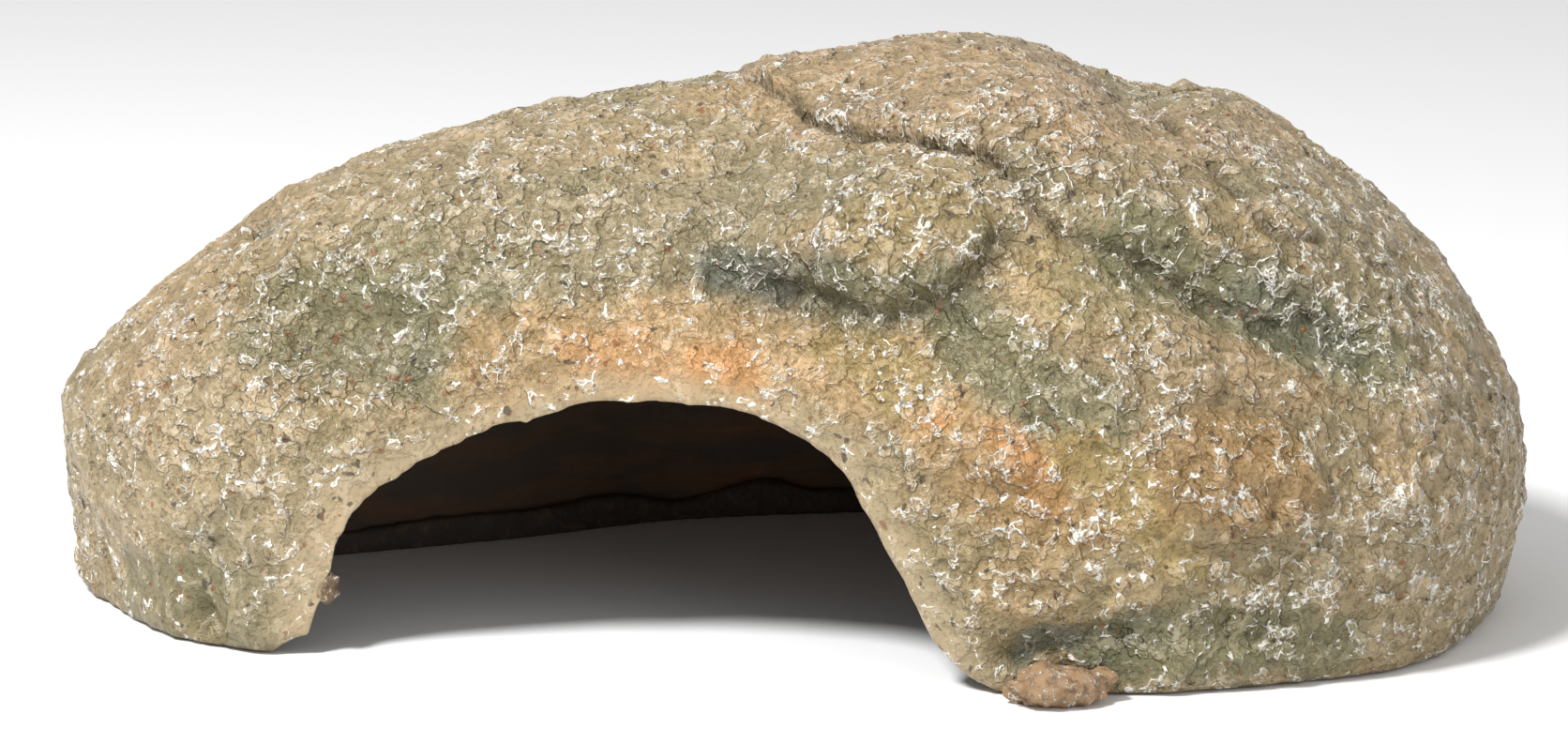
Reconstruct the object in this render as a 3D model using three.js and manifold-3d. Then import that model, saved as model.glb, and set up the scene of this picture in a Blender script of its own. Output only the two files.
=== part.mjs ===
// Resin cave ornament: a hollow boulder with an arched mouth, for a terrarium, aquarium or pond.
// Millimetres, +Z up. The rock stands on z = 0 with the mouth towards -Y and its length along X.
// The origin is the middle of the footprint's bounding box, on the surface that the rock stands on.

import * as THREE from "three";
import { mergeVertices } from "three/addons/utils/BufferGeometryUtils.js";
import Module from "manifold-3d";

const wasm = await Module();
wasm.setup();
const { degToRad, lerp, clamp } = THREE.MathUtils;

// ---------------------------------------------------------------- driving dimensions

const length = 249; // outline along X, before the foot tucks in
const depth = 147; // the same along Y
const height = 93; // from the floor to the crown, before the lumps are added

const shellWall = 7; // cast rock face
const liningWall = 1.5; // brushed backing coat inside the face
const fitGap = 0.3; // between pieces that are bonded together

const mouthWidth = 106; // between the legs, at the floor
const mouthHeight = 43;
const mouthCentre = -24; // along X
const liningSetback = 3; // the backing coat stops this far short of the mouth's lip
const liningLift = 1; // and this far above the floor

const rimHeight = 5; // bead of resin along the inside of the back wall's foot
const rimThickness = 3;
const rimWave = 0.8; // how far each wave of the bead's hand-laid top edge rises and falls
const rimWaveCounts = [11, 17]; // waves in a whole turn
const rimFrom = -20; // bearings of the bead's two ends, in degrees round from +X
const rimTo = 190;

const footStoneSize = new THREE.Vector3(17, 11, 6.5); // chip under the right leg's front
const footStoneBearing = -74; // degrees round from +X
const footStoneReach = 2; // how far its middle stands outside the rock's foot
const footStoneShowing = 0.4; // share of its height between the floor and its middle
const crestPebbleSize = new THREE.Vector3(4.6, 4.6, 4); // crumb on the shoulder's ridge
const crestPebbleBearing = 14;
const crestPebbleClimb = 64.3; // degrees up from the foot to the crown
const legCrumbSize = new THREE.Vector3(4.4, 5, 6); // crumb on the inner side of the left leg
const legCrumbHeight = 11; // of its middle, above the floor
const legCrumbSetIn = 4; // behind the leg's front

// ---------------------------------------------------------------- the rock's form

// Footprint, in half lengths and half depths about the footprint's middle, anticlockwise.
const footprint = [
  [1.0, 0.0], [0.96, 0.42], [0.76, 0.82], [0.42, 1.0], [0.08, 0.97], [-0.24, 0.84],
  [-0.5, 0.58], [-0.76, 0.36], [-0.96, 0.2], [-1.0, 0.02], [-0.96, -0.22], [-0.86, -0.46],
  [-0.7, -0.6], [-0.4, -0.68], [0.0, -0.82], [0.36, -0.98], [0.62, -0.9], [0.86, -0.68],
];
const coreAtFoot = new THREE.Vector2(0.18, 0.0); // the crown's axis, in the same units
const coreAtCrown = new THREE.Vector2(0.2, 0.02);
const footTuck = 5; // how far the foot pulls in under the widest part
const footTuckClimb = 0.5; // where the tuck ends, in radians of climb
const footFlatClimb = 0.2; // below this climb, relief pushes the skin more and more level

// How square the rock's side profile is, by bearing: 2 is an ellipse, less is more conical.
const profile = [
  { bearing: 0, run: 2.0, rise: 2.4 },
  { bearing: 90, run: 2.0, rise: 2.3 },
  { bearing: 180, run: 1.6, rise: 2.5 },
  { bearing: 270, run: 2.1, rise: 2.2 },
];

// Lumps (positive lift) and hollows (negative), on the skin. Each is an oval patch: its middle by
// bearing and climb in degrees, its half sizes across and up the slope in mm, how far it is turned,
// and its lift in mm.
const patches = [
  { bearing: 300, climb: 70, across: 28, up: 15, turn: 0, lift: 1.8 }, // cap boulder
  { bearing: 212, climb: 62, across: 34, up: 18, turn: 0, lift: -3 }, // lower top of the left slab
  { bearing: 262, climb: 47, across: 14, up: 9, turn: 0, lift: 4 }, // the slab's rounded nose
  { bearing: 243, climb: 36, across: 10, up: 5, turn: 0, lift: -4 }, // hollow under the nose
  { bearing: 302, climb: 41, across: 17, up: 6, turn: -20, lift: -4 }, // groove below the cap
  { bearing: 318, climb: 31, across: 13, up: 6, turn: -25, lift: -3 },
  { bearing: 202, climb: 30, across: 15, up: 9, turn: 0, lift: -3 }, // left hollow
  { bearing: 183, climb: 17, across: 18, up: 13, turn: 0, lift: 4.8 }, // left end
  { bearing: 181, climb: 40, across: 22, up: 28, turn: 0, lift: 2.8 }, // the long slope over it
  { bearing: 188, climb: 2, across: 20, up: 9, turn: 0, lift: -6 }, // the undercut foot of the left end
  { bearing: 175, climb: 72, across: 16, up: 14, turn: 0, lift: -1.8 }, // dip before the cap
  { bearing: 305, climb: 18, across: 15, up: 9, turn: 10, lift: 2.5 }, // coarse knob
  { bearing: 278, climb: 24, across: 9, up: 8, turn: 0, lift: 1.5 }, // flake over the right leg
  { bearing: 294, climb: 7, across: 8, up: 5, turn: 0, lift: -2.5 }, // recess over the foot chip
  { bearing: 2, climb: 71, across: 26, up: 11, turn: 0, lift: -7 }, // saddle beside the cap
  { bearing: 355, climb: 48, across: 20, up: 12, turn: 0, lift: -1.5 }, // right shoulder
  { bearing: 348, climb: 14, across: 22, up: 17, turn: 0, lift: 3.4 }, // right end
  { bearing: 30, climb: 25, across: 18, up: 10, turn: 15, lift: -2.5 }, // back of the rock
  { bearing: 60, climb: 45, across: 22, up: 12, turn: -10, lift: 3 },
  { bearing: 80, climb: 64, across: 15, up: 8, turn: 0, lift: -2 },
  { bearing: 95, climb: 28, across: 20, up: 8, turn: 20, lift: -3 },
  { bearing: 130, climb: 48, across: 24, up: 12, turn: 0, lift: 2.5 },
  { bearing: 152, climb: 22, across: 16, up: 10, turn: 0, lift: 2 },
];

const around = 96; // facets round the rock
const upward = 20; // facets from the floor to the crown
const innerAround = 64; // the same, for the surfaces inside
const innerUpward = 10;
const mouthFacets = 40; // over the arch
const beadFacets = 56; // from one end of the bead to the other
const skirt = 2; // how far a cutting solid reaches below the floor
const mouthRunOut = 5; // and the mouth's passage in front of the rock

// ---------------------------------------------------------------- helpers

const fullTurn = Math.PI * 2;
const rightAngle = Math.PI / 2;
const half = new THREE.Vector2(length / 2, depth / 2);
const outlinePoints = footprint.map(([x, y]) => new THREE.Vector3(x * half.x, y * half.y, 0));
const footCurve = new THREE.CatmullRomCurve3(outlinePoints, true, "centripetal");
const core = coreAtFoot.clone().multiply(half);
const crown = coreAtCrown.clone().multiply(half);

// The footprint as distance from the core against bearing, in even steps of bearing.
const reachSteps = 720;
const reachTable = (() => {
  const polar = footCurve
    .getPoints(reachSteps * 2)
    .map((p) => {
      const dx = p.x - core.x;
      const dy = p.y - core.y;
      return { bearing: (Math.atan2(dy, dx) + fullTurn) % fullTurn, reach: Math.hypot(dx, dy) };
    })
    .sort((a, b) => a.bearing - b.bearing);
  return Array.from({ length: reachSteps }, (_, i) => {
    const wanted = (i / reachSteps) * fullTurn;
    const found = polar.find((p) => p.bearing >= wanted) ?? polar[0];
    return found.reach;
  });
})();

function reachAt(bearing) {
  const turn = (((bearing / fullTurn) % 1) + 1) % 1;
  const at = turn * reachSteps;
  const i = Math.floor(at) % reachSteps;
  return lerp(reachTable[i], reachTable[(i + 1) % reachSteps], at - Math.floor(at));
}

// Bearings that cut the outline into stretches of equal length.
function evenBearings(count) {
  const corners = footCurve.getSpacedPoints(count).slice(0, count);
  return corners.map((p) => Math.atan2(p.y - core.y, p.x - core.x));
}

// The profile's two numbers at a bearing, turning smoothly from one listed bearing to the next.
function profileAt(bearing) {
  const turn = (((bearing / fullTurn) % 1) + 1) % 1;
  const at = turn * profile.length;
  const from = profile[Math.floor(at) % profile.length];
  const to = profile[(Math.floor(at) + 1) % profile.length];
  const share = (1 - Math.cos(Math.PI * (at % 1))) / 2;
  return { run: lerp(from.run, to.run, share), rise: lerp(from.rise, to.rise, share) };
}

// A point of the smooth boulder, or of the same boulder with a skin of that thickness taken off.
function boulderPoint(bearing, climb, inset = 0) {
  const { run, rise } = profileAt(bearing);
  const tuck = footTuck * Math.max(0, 1 - climb / footTuckClimb) ** 2;
  const out = (reachAt(bearing) - inset) * Math.max(0, Math.cos(climb)) ** (2 / run) - tuck;
  const up = Math.sin(climb) ** (2 / rise);
  return new THREE.Vector3(
    lerp(core.x, crown.x, up) + out * Math.cos(bearing),
    lerp(core.y, crown.y, up) + out * Math.sin(bearing),
    up * (height - inset),
  );
}

function boulderNormal(bearing, climb) {
  const step = 0.01;
  const low = clamp(climb, 0.02, Math.PI / 2 - 0.05);
  const east = boulderPoint(bearing + step, low).sub(boulderPoint(bearing - step, low));
  const north = boulderPoint(bearing, low + step).sub(boulderPoint(bearing, low - step));
  return east.cross(north).normalize();
}

// Each patch with the axes of the skin that it lies on.
const relief = patches.map((patch) => {
  const bearing = degToRad(patch.bearing);
  const climb = degToRad(patch.climb);
  const normal = boulderNormal(bearing, climb);
  const level = new THREE.Vector3(0, 0, 1).cross(normal).normalize();
  const across = level.applyAxisAngle(normal, degToRad(patch.turn));
  const upslope = normal.clone().cross(across);
  return { ...patch, centre: boulderPoint(bearing, climb), normal, acrossAxis: across, upAxis: upslope };
});

// How far the relief lifts the skin at a place on it.
function reliefAt(place) {
  return relief.reduce((sum, patch) => {
    const away = place.clone().sub(patch.centre);
    const u = away.dot(patch.acrossAxis) / patch.across;
    const v = away.dot(patch.upAxis) / patch.up;
    const w = away.dot(patch.normal) / Math.max(patch.across, patch.up);
    return sum + patch.lift * Math.exp(-(u * u + v * v + w * w));
  }, 0);
}

// A point of the finished skin. Hollows go on through the wall's inside, and lumps don't.
function skinPoint(bearing, climb, inset = 0) {
  const smooth = boulderPoint(bearing, climb);
  const lift = reliefAt(smooth);
  const kept = inset > 0 ? Math.min(0, lift) : lift;
  const normal = boulderNormal(bearing, climb);
  normal.z *= clamp(climb / footFlatClimb, 0, 1); // the foot stays on the floor
  return boulderPoint(bearing, climb, inset).addScaledVector(normal, kept);
}

// ---------------------------------------------------------------- solids

function toSolid(geometry) {
  const bare = geometry.clone();
  bare.deleteAttribute("normal");
  bare.deleteAttribute("uv");
  const merged = mergeVertices(bare, 1e-4);
  return new wasm.Manifold(
    new wasm.Mesh({
      numProp: 3,
      vertProperties: new Float32Array(merged.attributes.position.array),
      triVerts: new Uint32Array(merged.index.array),
    }),
  );
}

function toGeometry(solid) {
  const mesh = solid.getMesh();
  const geometry = new THREE.BufferGeometry();
  geometry.setAttribute("position", new THREE.BufferAttribute(mesh.vertProperties, 3));
  geometry.setIndex(new THREE.BufferAttribute(mesh.triVerts, 1));
  geometry.computeVertexNormals();
  return geometry;
}

// The boulder as one filled dome, with its skin inset by that much. A skirt carries it below the floor.
function boulderSolid(inset, facetsAround, facetsUp, skirt = 0) {
  const positions = [];
  const indices = [];
  const rings = Array.from({ length: facetsUp }, (_, j) => (j / facetsUp) * rightAngle);
  const drops = rings.map(() => 0);
  if (skirt > 0) {
    rings.unshift(0);
    drops.unshift(skirt);
  }
  const bearings = evenBearings(facetsAround);
  rings.forEach((climb, j) => {
    bearings.forEach((bearing) => {
      const p = skinPoint(bearing, climb, inset);
      positions.push(p.x, p.y, p.z - drops[j]);
    });
  });
  const top = skinPoint(0, rightAngle, inset);
  const topIndex = positions.length / 3;
  positions.push(top.x, top.y, top.z);
  const floorIndex = topIndex + 1;
  positions.push(core.x, core.y, -skirt);
  const last = (rings.length - 1) * facetsAround;
  for (let i = 0; i < facetsAround; i++) {
    const next = (i + 1) % facetsAround;
    indices.push(floorIndex, next, i);
    for (let below = 0; below < last; below += facetsAround) {
      const above = below + facetsAround;
      indices.push(below + i, below + next, above + next, below + i, above + next, above + i);
    }
    indices.push(last + i, last + next, topIndex);
  }
  const geometry = new THREE.BufferGeometry();
  geometry.setAttribute("position", new THREE.Float32BufferAttribute(positions, 3));
  geometry.setIndex(indices);
  return toSolid(geometry);
}

// The mouth's outline: in half mouth widths and mouth heights, from the left leg over to the right.
const mouthOutline = [
  [-1.0, 0.0], [-0.93, 0.28], [-0.84, 0.54], [-0.56, 0.78], [-0.22, 0.95], [0.08, 1.0],
  [0.38, 0.95], [0.62, 0.79], [0.76, 0.54], [0.88, 0.26], [1.0, 0.0],
];

const mouthCurve = (grow) =>
  new THREE.SplineCurve(
    mouthOutline.map(
      ([x, z]) =>
        new THREE.Vector2(mouthCentre + x * (mouthWidth / 2 + grow), z * (mouthHeight + grow)),
    ),
  );

// A passage of the mouth's shape, grown by that much all round, from in front of the rock to its middle.
function mouthSolid(grow = 0) {
  const arch = mouthCurve(grow).getPoints(mouthFacets);
  const shape = new THREE.Shape(arch);
  shape.lineTo(arch.at(-1).x, -skirt);
  shape.lineTo(arch[0].x, -skirt);
  const passage = new THREE.ExtrudeGeometry(shape, { depth: depth / 2 + mouthRunOut, bevelEnabled: false });
  passage.rotateX(rightAngle);
  return toSolid(passage);
}

// Everything below a level.
function blockBelow(level) {
  const block = new THREE.BoxGeometry(2 * length, 2 * depth, 2 * skirt + level);
  return toSolid(block.translate(0, 0, level / 2 - skirt));
}

// A chip of stone about the origin, of that size, knocked out of round by waves across each axis.
const chipWaves = new THREE.Vector3(7, 9, 8);
const chipUneven = 0.3;

function chipGeometry(size) {
  const chip = new THREE.IcosahedronGeometry(0.5, 2);
  const position = chip.attributes.position;
  const corner = new THREE.Vector3();
  for (let i = 0; i < position.count; i++) {
    corner.fromBufferAttribute(position, i);
    const wave = corner.clone().multiply(chipWaves);
    const wobble = Math.sin(wave.x + 2) * Math.cos(wave.y + 1) * Math.sin(wave.z + 3);
    corner.multiplyScalar(1 + chipUneven * wobble).multiply(size);
    position.setXYZ(i, corner.x, corner.y, corner.z);
  }
  return chip;
}

// ---------------------------------------------------------------- pieces

const resin = (color, roughness) => new THREE.MeshStandardMaterial({ color, roughness, metalness: 0 });
const sandstonePaint = resin(0xb49c78, 0.75);
const darkBacking = resin(0x2e231c, 0.8);
const chipPaint = resin(0xb08a62, 0.7);

const group = new THREE.Group();

function addPiece(name, solid, material) {
  const mesh = new THREE.Mesh(toGeometry(solid), material);
  mesh.name = name;
  group.add(mesh);
}

const innerFacets = [innerAround, innerUpward];
const outside = boulderSolid(0, around, upward);

// Chip under the right leg: it stands on the floor, and the leg is moulded over its back.
function footStone(spare) {
  const bearing = degToRad(footStoneBearing);
  const middle = skinPoint(bearing, 0);
  middle.add(new THREE.Vector3(Math.cos(bearing), Math.sin(bearing), 0).multiplyScalar(footStoneReach));
  const stone = chipGeometry(footStoneSize.clone().addScalar(2 * spare));
  stone.rotateZ(bearing + rightAngle);
  stone.translate(middle.x, middle.y, footStoneSize.z * footStoneShowing);
  return toSolid(stone);
}
addPiece("foot_stone", footStone(0).subtract(blockBelow(0)), chipPaint);

// The cast rock face, open below, with the arched mouth through its front.
const chamber = boulderSolid(shellWall, ...innerFacets, skirt);
addPiece(
  "rock_shell",
  outside.subtract(chamber).subtract(mouthSolid()).subtract(footStone(fitGap)),
  sandstonePaint,
);

// Dark coat brushed on the inside of the face, short of the lip and of the floor.
const liningOuter = shellWall + fitGap;
const liningInner = liningOuter + liningWall;
addPiece(
  "inner_lining",
  boulderSolid(liningOuter, ...innerFacets)
    .subtract(boulderSolid(liningInner, ...innerFacets, skirt))
    .subtract(mouthSolid(liningSetback))
    .subtract(blockBelow(liningLift)),
  darkBacking,
);

// Bead of resin laid by hand along the inside of the foot, with a wavy top edge.
const beadOuter = liningInner + fitGap;
const bead = new THREE.BoxGeometry(1, 1, 1, beadFacets, 1, 1).translate(0.5, 0.5, 0.5);
const beadPosition = bead.attributes.position;
for (let i = 0; i < beadPosition.count; i++) {
  const bearing = degToRad(lerp(rimFrom, rimTo, beadPosition.getX(i)));
  const inset = lerp(beadOuter - rimThickness, beadOuter + rimThickness, beadPosition.getY(i));
  const wave = rimWaveCounts.reduce((sum, n) => sum + rimWave * Math.sin(n * bearing + n), 0);
  const foot = boulderPoint(bearing, 0, inset);
  beadPosition.setXYZ(i, foot.x, foot.y, beadPosition.getZ(i) * (rimHeight + wave));
}
const beadRoom = boulderSolid(beadOuter, ...innerFacets, skirt);
addPiece("rim_bead", toSolid(bead).intersect(beadRoom), darkBacking);

// Crumb of stone stuck on the ridge of the right shoulder.
const crestPebble = chipGeometry(crestPebbleSize);
const crestPlace = skinPoint(degToRad(crestPebbleBearing), degToRad(crestPebbleClimb));
crestPebble.translate(...crestPlace);
addPiece("crest_pebble", toSolid(crestPebble).subtract(boulderSolid(-fitGap, around, upward)), chipPaint);

// Crumb on the inner side of the left leg, pressed against the side of the mouth.
const legSide = mouthCurve(0).getPoints(mouthFacets).find((p) => p.y >= legCrumbHeight).x;
const bearings = Array.from({ length: 360 }, (_, i) => degToRad(i));
const legBearing = bearings.find((b) => b > Math.PI && skinPoint(b, 0).x >= legSide);
const legCrumb = chipGeometry(legCrumbSize);
legCrumb.translate(legSide, skinPoint(legBearing, 0).y + legCrumbSetIn, legCrumbHeight);
addPiece("leg_crumb", toSolid(legCrumb).intersect(mouthSolid(-fitGap)), chipPaint);

// The origin is moved to the middle of the footprint's box.
const middle = new THREE.Box3().setFromObject(group).getCenter(new THREE.Vector3());
group.position.set(-middle.x, -middle.y, 0);

export default group;
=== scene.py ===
# Looks of the resin cave ornament: a hollow, hand-painted rock with an arched mouth.
# The places in this file are in millimetres in the rock's own frame, and its meshes are in metres.

import itertools
from contextlib import contextmanager
from math import cos, radians, sin

import bmesh
import bpy
import numpy as np
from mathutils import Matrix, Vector
from mathutils.bvhtree import BVHTree
from mathutils.kdtree import KDTree


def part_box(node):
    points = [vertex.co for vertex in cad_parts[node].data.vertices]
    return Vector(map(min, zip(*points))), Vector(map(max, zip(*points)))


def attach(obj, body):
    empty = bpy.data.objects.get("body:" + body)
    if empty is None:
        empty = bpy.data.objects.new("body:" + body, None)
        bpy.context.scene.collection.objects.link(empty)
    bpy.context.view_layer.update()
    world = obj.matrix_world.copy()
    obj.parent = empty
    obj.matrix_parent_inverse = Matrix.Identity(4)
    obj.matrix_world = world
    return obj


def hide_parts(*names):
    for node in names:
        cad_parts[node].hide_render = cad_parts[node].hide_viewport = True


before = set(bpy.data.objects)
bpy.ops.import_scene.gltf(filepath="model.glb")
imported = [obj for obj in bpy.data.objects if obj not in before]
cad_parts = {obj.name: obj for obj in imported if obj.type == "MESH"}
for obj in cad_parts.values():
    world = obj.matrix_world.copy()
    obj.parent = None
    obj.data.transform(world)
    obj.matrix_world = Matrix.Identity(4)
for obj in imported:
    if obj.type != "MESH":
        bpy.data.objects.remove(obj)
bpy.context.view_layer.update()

# ---------------------------------------------------------------- rock shell
# The rock is one casting of polyester resin and stone powder, about 7 mm thick, laid into a rubber
# mould. Its outside looks like a few boulders that lean together, under a crust like torn stucco.
# It is painted tan, washed with orange, pink and green-grey, dry-brushed white, and varnished thinly.

MM = 0.001
ROCK_GRAIN = 2.05  # size of the mesh's faces inside the rock; they are half of that outside
ROCK_WEAR = 5  # rounds of smoothing that take the sharp edges off
CAVE_HEART = Vector((12.0, 4.0, 25.0))  # a point in the middle of the hollow
OUTSIDE_FACING = -0.3  # the outside and the mouth's edge face away from the heart by more than this
FLOOR_FACING = -0.6  # and the flat foot faces down by more than this


def copied(node, name):
    """A copy of a CAD piece, with its loose triangles joined."""
    joined = bmesh.new()
    joined.from_mesh(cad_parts[node].data)
    bmesh.ops.remove_doubles(joined, verts=joined.verts, dist=0.01 * MM)
    mesh = bpy.data.meshes.new(name)
    joined.to_mesh(mesh)
    joined.free()
    piece = bpy.data.objects.new(name, mesh)
    bpy.context.scene.collection.objects.link(piece)
    return piece


def cast(node, name, grain, wear):
    """A copy of a CAD piece as one even skin of that grain in mm, with its edges worn round."""
    piece = copied(node, name)
    remesh = piece.modifiers.new("even grain", "REMESH")
    remesh.mode = "VOXEL"
    remesh.voxel_size = grain * MM
    evened = piece.evaluated_get(bpy.context.evaluated_depsgraph_get())
    even_mesh = bpy.data.meshes.new_from_object(evened)
    piece.modifiers.clear()
    worn = bmesh.new()
    worn.from_mesh(even_mesh)
    for _ in range(wear):
        smooth(worn)
    worn.to_mesh(piece.data)
    worn.free()
    bpy.data.meshes.remove(even_mesh)
    return piece


def smooth(mesh, points=None):
    """One round of smoothing, of all of a mesh or of some of its points."""
    bmesh.ops.smooth_vert(
        mesh, verts=points or mesh.verts, factor=0.5, use_axis_x=True, use_axis_y=True, use_axis_z=True
    )


@contextmanager
def reworked(piece):
    """A piece's mesh, open for bmesh operators and written back after them."""
    mesh = bmesh.new()
    mesh.from_mesh(piece.data)
    yield mesh
    mesh.to_mesh(piece.data)
    mesh.free()


def refine_outside(piece):
    """Cuts every face of the outside, and of the mouth's edge, in four."""
    with reworked(piece) as mesh:
        outside = []
        for face in mesh.faces:
            outward = (face.calc_center_median() - CAVE_HEART * MM).normalized()
            if outward.dot(face.normal) > OUTSIDE_FACING and face.normal.z > FLOOR_FACING:
                outside.append(face)
        edges = list({edge for face in outside for edge in face.edges})
        bmesh.ops.subdivide_edges(mesh, edges=edges, cuts=1, use_grid_fill=True)
        smooth(mesh)


def read_mesh(piece):
    """The places in mm and the outward directions of a piece's points."""
    mesh = piece.data
    places = np.empty(len(mesh.vertices) * 3)
    normals = np.empty(len(mesh.vertices) * 3)
    mesh.vertices.foreach_get("co", places)
    mesh.vertices.foreach_get("normal", normals)
    return places.reshape(-1, 3) / MM, normals.reshape(-1, 3)


def write_mesh(piece, places):
    """Moves a piece's points to places in mm."""
    piece.data.vertices.foreach_set("co", (places * MM).ravel())
    piece.data.shade_smooth()
    piece.data.update()


def write_value(piece, name, values):
    """Keeps one number for each point of a piece, for its material to read."""
    layer = piece.data.attributes.new(name, "FLOAT", "POINT")
    layer.data.foreach_set("value", values.astype(np.float32))


def write_place(piece, name, places):
    """Keeps a place in mm for each point of a piece."""
    layer = piece.data.attributes.new(name, "FLOAT_VECTOR", "POINT")
    layer.data.foreach_set("vector", (places * MM).astype(np.float32).ravel())


def write_colour(piece, name, colours):
    """Keeps a colour for each point of a piece."""
    layer = piece.data.attributes.new(name, "FLOAT_COLOR", "POINT")
    with_alpha = np.column_stack([colours, np.ones(len(colours))])
    layer.data.foreach_set("color", with_alpha.astype(np.float32).ravel())


LUMP_GAIN = 1.7  # brings the lumps to a height of about 1
LATTICE = 32  # cells along each side of the block of slopes that the lumps repeat


def lumps(places, size, seed):
    """Smooth lumps and dips of about that size in mm, between about -1 and 1."""
    slopes = np.random.default_rng(seed).normal(size=(LATTICE, LATTICE, LATTICE, 3))
    slopes /= np.linalg.norm(slopes, axis=-1, keepdims=True)
    cells = np.floor(places / size).astype(int)
    inside = places / size - cells
    fade = inside * inside * (3 - 2 * inside)
    total = np.zeros(len(places))
    for corner in itertools.product((0, 1), repeat=3):
        slope = slopes[tuple(((cells + corner) % LATTICE).T)]
        weight = np.prod(np.where(corner, fade, 1 - fade), axis=1)
        total += weight * ((inside - corner) * slope).sum(1)
    return total * LUMP_GAIN


def layers(places, size, seed, count):
    """Lumps on lumps, each layer half the size and half the height of the last."""
    return sum(lumps(places, size / 2**i, seed + i) / 2**i for i in range(count))


def ease(values, start, end):
    """0 before start and 1 after end, and smooth between them."""
    share = np.clip((values - start) / (end - start), 0, 1)
    return share * share * (3 - 2 * share)


class Socket:
    """An output in a material's nodes. Arithmetic on it adds Math nodes to the material."""

    def __init__(self, output):
        self.output = output

    def node(self, kind, settings=None, values=None, output=0):
        """A further node: its settings, then the values or links of its inputs."""
        made = self.output.id_data.nodes.new(kind)
        for name, setting in (settings or {}).items():
            setattr(made, name, setting)
        for key, value in (values or {}).items():
            if isinstance(value, Socket):
                made.id_data.links.new(value.output, made.inputs[key])
            else:
                made.inputs[key].default_value = value
        return Socket(made.outputs[output])

    def math(self, operation, first, second):
        return self.node("ShaderNodeMath", {"operation": operation}, {0: first, 1: second})

    def vector(self, operation, values):
        return self.node("ShaderNodeVectorMath", {"operation": operation}, values)

    def __add__(self, other):
        return self.math("ADD", self, other)

    def __sub__(self, other):
        return self.math("SUBTRACT", self, other)

    def __rsub__(self, other):
        return self.math("SUBTRACT", other, self)

    def __mul__(self, other):
        return self.math("MULTIPLY", self, other)

    def __abs__(self):
        return self.math("ABSOLUTE", self, 0)

    __radd__ = __add__
    __rmul__ = __mul__

    def ease(self, start, end):
        """0 before start and 1 after end, and smooth between them."""
        return self.node(
            "ShaderNodeMapRange",
            {"interpolation_type": "SMOOTHSTEP"},
            {"Value": self, "From Min": start, "From Max": end},
        )

    def between(self, first, second, blend="MIX"):
        """The colour that is this share of the way from one colour to another."""
        return self.node(
            "ShaderNodeMix",
            {"data_type": "RGBA", "blend_type": blend},
            {"Factor": self, 6: first, 7: second},
            output=2,
        )

    def mix(self, share, other, blend="MIX"):
        """This colour with that share of another."""
        return share.between(self, other, blend)

    def noise(self, size, detail=2, roughness=0.5, output=0):
        """Blender's noise at this place, with lumps of about that size in mm."""
        return self.node(
            "ShaderNodeTexNoise",
            None,
            {"Vector": self, "Scale": 1 / (size * MM), "Detail": detail, "Roughness": roughness},
            output=output,
        )

    def shifted(self, size, reach):
        """This place, moved about by up to that reach in mm, in swirls of that size."""
        swirl = self.noise(size, detail=1, output=1)
        centred = self.vector("SUBTRACT", {0: swirl, 1: (0.5, 0.5, 0.5)})
        scaled = self.vector("SCALE", {0: centred, "Scale": 2 * reach * MM})
        return self.vector("ADD", {0: self, 1: scaled})


def finish(name):
    """A new material: the material, its shader node, and the place on the piece."""
    material = bpy.data.materials.new(name)
    material.use_nodes = True
    nodes = material.node_tree.nodes
    shader = next(node for node in nodes if node.type == "BSDF_PRINCIPLED")
    place = Socket(nodes.new("ShaderNodeTexCoord").outputs["Object"])
    return material, shader, place


def kept(place, name, output="Fac"):
    """What the mesh keeps for each of its points under that name."""
    return place.node("ShaderNodeAttribute", {"attribute_name": name}, output=output)


def join(shader, **links):
    """Links the shader's inputs, which are named with underscores for spaces."""
    for name, socket in links.items():
        shader.id_data.links.new(socket.output, shader.inputs[name.replace("_", " ")])


def bump(place, height, depth):
    """A normal that follows a height of that depth in mm."""
    return place.node("ShaderNodeBump", None, {"Height": height, "Distance": depth * MM})


LUMP_SIZE = 3.3  # the stucco's main lumps, in mm
DOWNHILL = (0.5 * MM, 0, -0.6 * MM)  # a short step down the front, which tells a lump's upper side


def stucco(place):
    """The torn crust at a place: its height in mm, and its crests, edges and low places from 0 to 1."""
    torn = place.shifted(8, 0.9).shifted(2.6, 0.25)
    lump = torn.noise(LUMP_SIZE, detail=2, roughness=0.5)
    below = torn.vector("ADD", {0: torn, 1: DOWNHILL})
    upper_side = below.noise(LUMP_SIZE, detail=1) - torn.noise(LUMP_SIZE, detail=1)
    layer = torn.noise(8, detail=4, roughness=0.55)
    skin = torn.noise(3.8, detail=3, roughness=0.52)
    net = torn.node(
        "ShaderNodeTexVoronoi",
        {"feature": "DISTANCE_TO_EDGE"},
        {"Vector": torn.shifted(1.3, 0.3), "Scale": 1 / (2.9 * MM)},
        output="Distance",
    )
    broken = torn.noise(2.6, detail=2)
    crest = (1 - net.ease(0.0, 0.2)) * broken.ease(0.42, 0.58)
    flakes = 0.7 * layer.ease(0.485, 0.53) + 0.4 * skin.ease(0.48, 0.54)
    height = 1.4 * (lump - 0.5) + 0.5 * lump.ease(0.54, 0.6) + flakes + 0.3 * crest
    edge = 1 - abs(layer - 0.53).ease(0.0, 0.011)
    skin_edge = 1 - abs(skin - 0.545).ease(0.0, 0.016)
    low = 1 - (lump + 0.12 * flakes + 0.05 * crest).ease(0.46, 0.64)
    return {
        "height": height,
        "net": net,
        "broken": broken,
        "edge": edge,
        "skin_edge": skin_edge,
        "low": low,
        "lump": lump,
        # The upper-left rim of each lump, which takes painted highlight.
        "lit_rim": (1 - abs(lump - 0.575).ease(0.015, 0.05)) * upper_side.ease(-0.01, 0.04),
    }


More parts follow.
